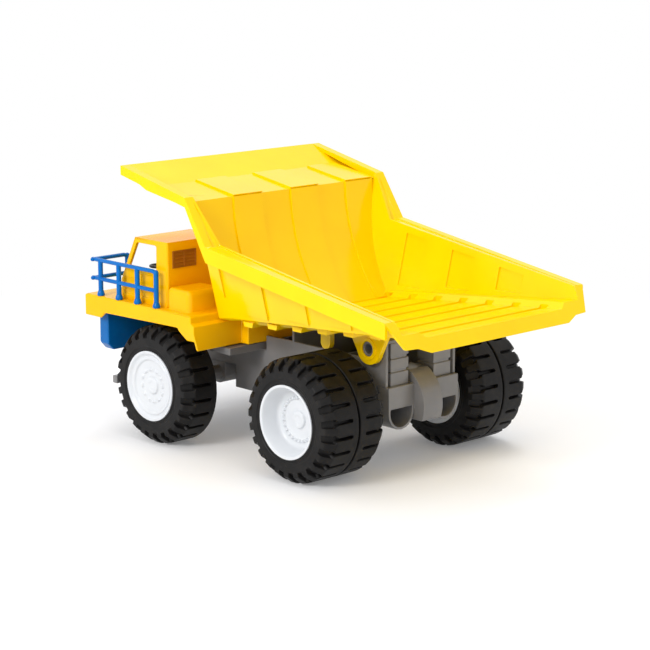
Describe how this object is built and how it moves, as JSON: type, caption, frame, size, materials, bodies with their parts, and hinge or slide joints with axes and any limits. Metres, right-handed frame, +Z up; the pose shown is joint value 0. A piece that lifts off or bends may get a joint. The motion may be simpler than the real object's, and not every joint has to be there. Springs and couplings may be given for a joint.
{
  "type": "toy mining dump truck",
  "caption": "Plastic toy mining dump truck with an open cab, a railed deck, freely rolling wheels and a bed that tips on stub pins.",
  "frame": {"origin": "on the floor under the middle of the truck's bounding box", "axes": "+X to the truck's left, -Y towards its front, +Z up"},
  "size_m": [0.1914, 0.3152, 0.1919],
  "materials": {
    "bed_yellow_plastic": "moulded, glossy",
    "cab_yellow_plastic": "moulded, glossy",
    "white_plastic": "moulded, glossy",
    "grey_plastic": "moulded, satin",
    "tyre_rubber": "matt, moulded tread",
    "blue_plastic": "moulded, satin gloss",
    "brown_plastic": "painted, satin",
    "black_plastic": "moulded, satin",
    "axle_steel": "drawn wire"
  },
  "bodies": {
    "chassis": {"chassis_frame": "grey_plastic", "front_axle_beam": "grey_plastic", "rear_axle_housing": "grey_plastic", "left_strut": "grey_plastic", "right_strut": "grey_plastic", "front_axle_pin": "axle_steel", "rear_axle_pin": "axle_steel", "deck_shell": "cab_yellow_plastic", "cab_shell": "cab_yellow_plastic", "cab_interior": "grey_plastic", "steering_wheel": "black_plastic", "cab_louvre": "brown_plastic", "left_railing": "blue_plastic", "right_railing": "blue_plastic", "front_bumper": "blue_plastic", "front_step_bar": "grey_plastic"},
    "front_left_wheel": {"front_left_rim": "white_plastic", "front_left_tyre": "tyre_rubber"},
    "front_right_wheel": {"front_right_rim": "white_plastic", "front_right_tyre": "tyre_rubber"},
    "rear_left_wheel": {"rear_left_rim": "white_plastic", "rear_left_outer_tyre": "tyre_rubber", "rear_left_inner_tyre": "tyre_rubber"},
    "rear_right_wheel": {"rear_right_rim": "white_plastic", "rear_right_outer_tyre": "tyre_rubber", "rear_right_inner_tyre": "tyre_rubber"},
    "dump_bed": {"bed": "bed_yellow_plastic"}
  },
  "joints": [
    {"name": "front_left_roll", "type": "hinge", "parent": "chassis", "child": "front_left_wheel", "pos_m": [0.082, -0.08165, 0.0415], "axis": [1, 0, 0], "continuous": true},
    {"name": "front_right_roll", "type": "hinge", "parent": "chassis", "child": "front_right_wheel", "pos_m": [-0.082, -0.08165, 0.0415], "axis": [1, 0, 0], "continuous": true},
    {"name": "rear_left_roll", "type": "hinge", "parent": "chassis", "child": "rear_left_wheel", "pos_m": [0.082, 0.05715, 0.0415], "axis": [1, 0, 0], "continuous": true},
    {"name": "rear_right_roll", "type": "hinge", "parent": "chassis", "child": "rear_right_wheel", "pos_m": [-0.082, 0.05715, 0.0415], "axis": [1, 0, 0], "continuous": true},
    {"name": "bed_tip", "type": "hinge", "parent": "chassis", "child": "dump_bed", "pos_m": [0, 0.07415, 0.084], "axis": [-1, 0, 0], "range_deg": [0, 50]}
  ]
}
